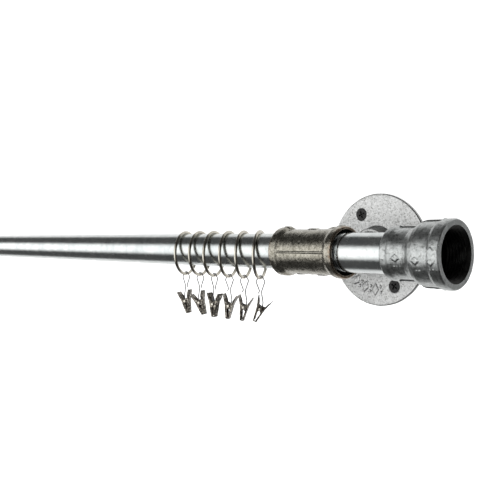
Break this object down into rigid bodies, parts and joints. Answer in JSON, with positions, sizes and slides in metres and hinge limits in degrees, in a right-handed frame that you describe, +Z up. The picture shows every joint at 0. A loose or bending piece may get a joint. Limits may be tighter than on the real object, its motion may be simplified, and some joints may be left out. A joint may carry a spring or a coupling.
{
  "type": "curtain rod with brackets",
  "caption": "Galvanised pipe curtain rod on wall flanges and tees, with reducer finials and sliding rings that carry sprung clips on wire hooks.",
  "frame": {"origin": "centre of the right-hand flange's back face, on the wall", "axes": "+X along the rod to the right seen from the room, +Y into the wall, +Z up"},
  "size_m": [1.1212, 0.1337, 0.1003],
  "materials": {
    "galvanised_pipe": "galvanised, mottled satin",
    "galvanised_flange": "galvanised casting, speckled",
    "malleable_tee": "dull olive-grey casting, rusty at the lip",
    "galvanised_reducer": "galvanised casting, rough satin",
    "black_screw": "black phosphate",
    "nickel_ring": "nickel plate, warm",
    "hook_wire": "bright drawn wire",
    "spring_wire": "spring steel wire",
    "clip_pin": "nickel plate",
    "clip_jaw": "dark bright nickel on stamped sheet"
  },
  "bodies": {
    "bracketed_rod": {"rod": "galvanised_pipe", "right_flange": "galvanised_flange", "right_wall_screws": "black_screw", "right_standoff_nipple": "galvanised_pipe", "right_tee": "malleable_tee", "right_end_nipple": "galvanised_pipe", "right_reducer": "galvanised_reducer", "left_flange": "galvanised_flange", "left_wall_screws": "black_screw", "left_standoff_nipple": "galvanised_pipe", "left_tee": "malleable_tee", "left_end_nipple": "galvanised_pipe", "left_reducer": "galvanised_reducer"},
    "ring_1": {"ring_1": "nickel_ring"},
    "hanger_1": {"hook_1": "hook_wire"},
    "clip_1": {"clip_fixed_jaw_1": "clip_jaw", "clip_pin_1": "clip_pin", "clip_spring_1": "spring_wire"},
    "jaw_1": {"clip_moving_jaw_1": "clip_jaw"},
    "ring_2": {"ring_2": "nickel_ring"},
    "hanger_2": {"hook_2": "hook_wire"},
    "clip_2": {"clip_fixed_jaw_2": "clip_jaw", "clip_pin_2": "clip_pin", "clip_spring_2": "spring_wire"},
    "jaw_2": {"clip_moving_jaw_2": "clip_jaw"},
    "ring_3": {"ring_3": "nickel_ring"},
    "hanger_3": {"hook_3": "hook_wire"},
    "clip_3": {"clip_fixed_jaw_3": "clip_jaw", "clip_pin_3": "clip_pin", "clip_spring_3": "spring_wire"},
    "jaw_3": {"clip_moving_jaw_3": "clip_jaw"},
    "ring_4": {"ring_4": "nickel_ring"},
    "hanger_4": {"hook_4": "hook_wire"},
    "clip_4": {"clip_fixed_jaw_4": "clip_jaw", "clip_pin_4": "clip_pin", "clip_spring_4": "spring_wire"},
    "jaw_4": {"clip_moving_jaw_4": "clip_jaw"},
    "ring_5": {"ring_5": "nickel_ring"},
    "hanger_5": {"hook_5": "hook_wire"},
    "clip_5": {"clip_fixed_jaw_5": "clip_jaw", "clip_pin_5": "clip_pin", "clip_spring_5": "spring_wire"},
    "jaw_5": {"clip_moving_jaw_5": "clip_jaw"},
    "ring_6": {"ring_6": "nickel_ring"},
    "hanger_6": {"hook_6": "hook_wire"},
    "clip_6": {"clip_fixed_jaw_6": "clip_jaw", "clip_pin_6": "clip_pin", "clip_spring_6": "spring_wire"},
    "jaw_6": {"clip_moving_jaw_6": "clip_jaw"}
  },
  "joints": [
    {"name": "ring_1_slide", "type": "slide", "parent": "bracketed_rod", "child": "ring_1", "axis": [-1, 0, 0], "range_m": [-0.014, 0.1]},
    {"name": "hook_1_swing", "type": "hinge", "parent": "ring_1", "child": "hanger_1", "pos_m": [-0.0548, -0.08, -0.0031], "axis": [0.8788, 0.4772, 0], "range_deg": [-35, 35]},
    {"name": "clip_1_tilt", "type": "hinge", "parent": "hanger_1", "child": "clip_1", "pos_m": [-0.0548, -0.08, -0.0449], "axis": [-0.6225, 0.7826, 0], "range_deg": [-15, 5]},
    {"name": "clip_1_open", "type": "hinge", "parent": "clip_1", "child": "jaw_1", "pos_m": [-0.0548, -0.08, -0.0449], "axis": [0.6225, -0.7826, 0], "range_deg": [0, 25], "stiffness_Nm_per_rad": 0.01, "springref_deg": -85.94, "deforming": ["clip_spring_1"]},
    {"name": "ring_2_slide", "type": "slide", "parent": "ring_1", "child": "ring_2", "axis": [-1, 0, 0], "range_m": [0, 0.12]},
    {"name": "hook_2_swing", "type": "hinge", "parent": "ring_2", "child": "hanger_2", "pos_m": [-0.0731, -0.08, -0.00325], "axis": [0.9026, 0.4305, 0], "range_deg": [-35, 35]},
    {"name": "clip_2_tilt", "type": "hinge", "parent": "hanger_2", "child": "clip_2", "pos_m": [-0.0731, -0.08, -0.04505], "axis": [-0.5519, 0.8339, 0], "range_deg": [-15, 15]},
    {"name": "clip_2_open", "type": "hinge", "parent": "clip_2", "child": "jaw_2", "pos_m": [-0.0731, -0.08, -0.04505], "axis": [0.5519, -0.8339, 0], "range_deg": [0, 25], "stiffness_Nm_per_rad": 0.01, "springref_deg": -85.94, "deforming": ["clip_spring_2"]},
    {"name": "ring_3_slide", "type": "slide", "parent": "ring_2", "child": "ring_3", "axis": [-1, 0, 0], "range_m": [0, 0.12]},
    {"name": "hook_3_swing", "type": "hinge", "parent": "ring_3", "child": "hanger_3", "pos_m": [-0.0908, -0.08, -0.00325], "axis": [0.9205, 0.3907, 0], "range_deg": [-35, 35]},
    {"name": "clip_3_tilt", "type": "hinge", "parent": "hanger_3", "child": "clip_3", "pos_m": [-0.0908, -0.08, -0.04505], "axis": [-0.454, 0.891, 0], "range_deg": [-15, 15]},
    {"name": "clip_3_open", "type": "hinge", "parent": "clip_3", "child": "jaw_3", "pos_m": [-0.0908, -0.08, -0.04505], "axis": [0.454, -0.891, 0], "range_deg": [0, 25], "stiffness_Nm_per_rad": 0.01, "springref_deg": -85.94, "deforming": ["clip_spring_3"]},
    {"name": "ring_4_slide", "type": "slide", "parent": "ring_3", "child": "ring_4", "axis": [-1, 0, 0], "range_m": [0, 0.12]},
    {"name": "hook_4_swing", "type": "hinge", "parent": "ring_4", "child": "hanger_4", "pos_m": [-0.1095, -0.08, -0.00325], "axis": [0.9336, 0.3584, 0], "range_deg": [-35, 35]},
    {"name": "clip_4_tilt", "type": "hinge", "parent": "hanger_4", "child": "clip_4", "pos_m": [-0.1095, -0.08, -0.04505], "axis": [-0.1736, 0.9848, 0], "range_deg": [-15, 15]},
    {"name": "clip_4_open", "type": "hinge", "parent": "clip_4", "child": "jaw_4", "pos_m": [-0.1095, -0.08, -0.04505], "axis": [0.1736, -0.9848, 0], "range_deg": [0, 25], "stiffness_Nm_per_rad": 0.01, "springref_deg": -85.94, "deforming": ["clip_spring_4"]},
    {"name": "ring_5_slide", "type": "slide", "parent": "ring_4", "child": "ring_5", "axis": [-1, 0, 0], "range_m": [0, 0.12]},
    {"name": "hook_5_swing", "type": "hinge", "parent": "ring_5", "child": "hanger_5", "pos_m": [-0.128, -0.08, -0.00325], "axis": [0.9336, 0.3584, 0], "range_deg": [-35, 35]},
    {"name": "clip_5_tilt", "type": "hinge", "parent": "hanger_5", "child": "clip_5", "pos_m": [-0.128, -0.08, -0.04505], "axis": [-0.3584, 0.9336, 0], "range_deg": [-10, 15]},
    {"name": "clip_5_open", "type": "hinge", "parent": "clip_5", "child": "jaw_5", "pos_m": [-0.128, -0.08, -0.04505], "axis": [0.3584, -0.9336, 0], "range_deg": [0, 12], "stiffness_Nm_per_rad": 0.01, "springref_deg": -85.94, "deforming": ["clip_spring_5"]},
    {"name": "ring_6_slide", "type": "slide", "parent": "ring_5", "child": "ring_6", "axis": [-1, 0, 0], "range_m": [0, 0.12]},
    {"name": "hook_6_swing", "type": "hinge", "parent": "ring_6", "child": "hanger_6", "pos_m": [-0.1474, -0.08, -0.00325], "axis": [0.9336, 0.3584, 0], "range_deg": [-35, 35]},
    {"name": "clip_6_tilt", "type": "hinge", "parent": "hanger_6", "child": "clip_6", "pos_m": [-0.1474, -0.08, -0.04505], "axis": [-0.3584, 0.9336, 0], "range_deg": [-15, 15]},
    {"name": "clip_6_open", "type": "hinge", "parent": "clip_6", "child": "jaw_6", "pos_m": [-0.1474, -0.08, -0.04505], "axis": [0.3584, -0.9336, 0], "range_deg": [0, 18], "stiffness_Nm_per_rad": 0.01, "springref_deg": -85.94, "deforming": ["clip_spring_6"]}
  ]
}
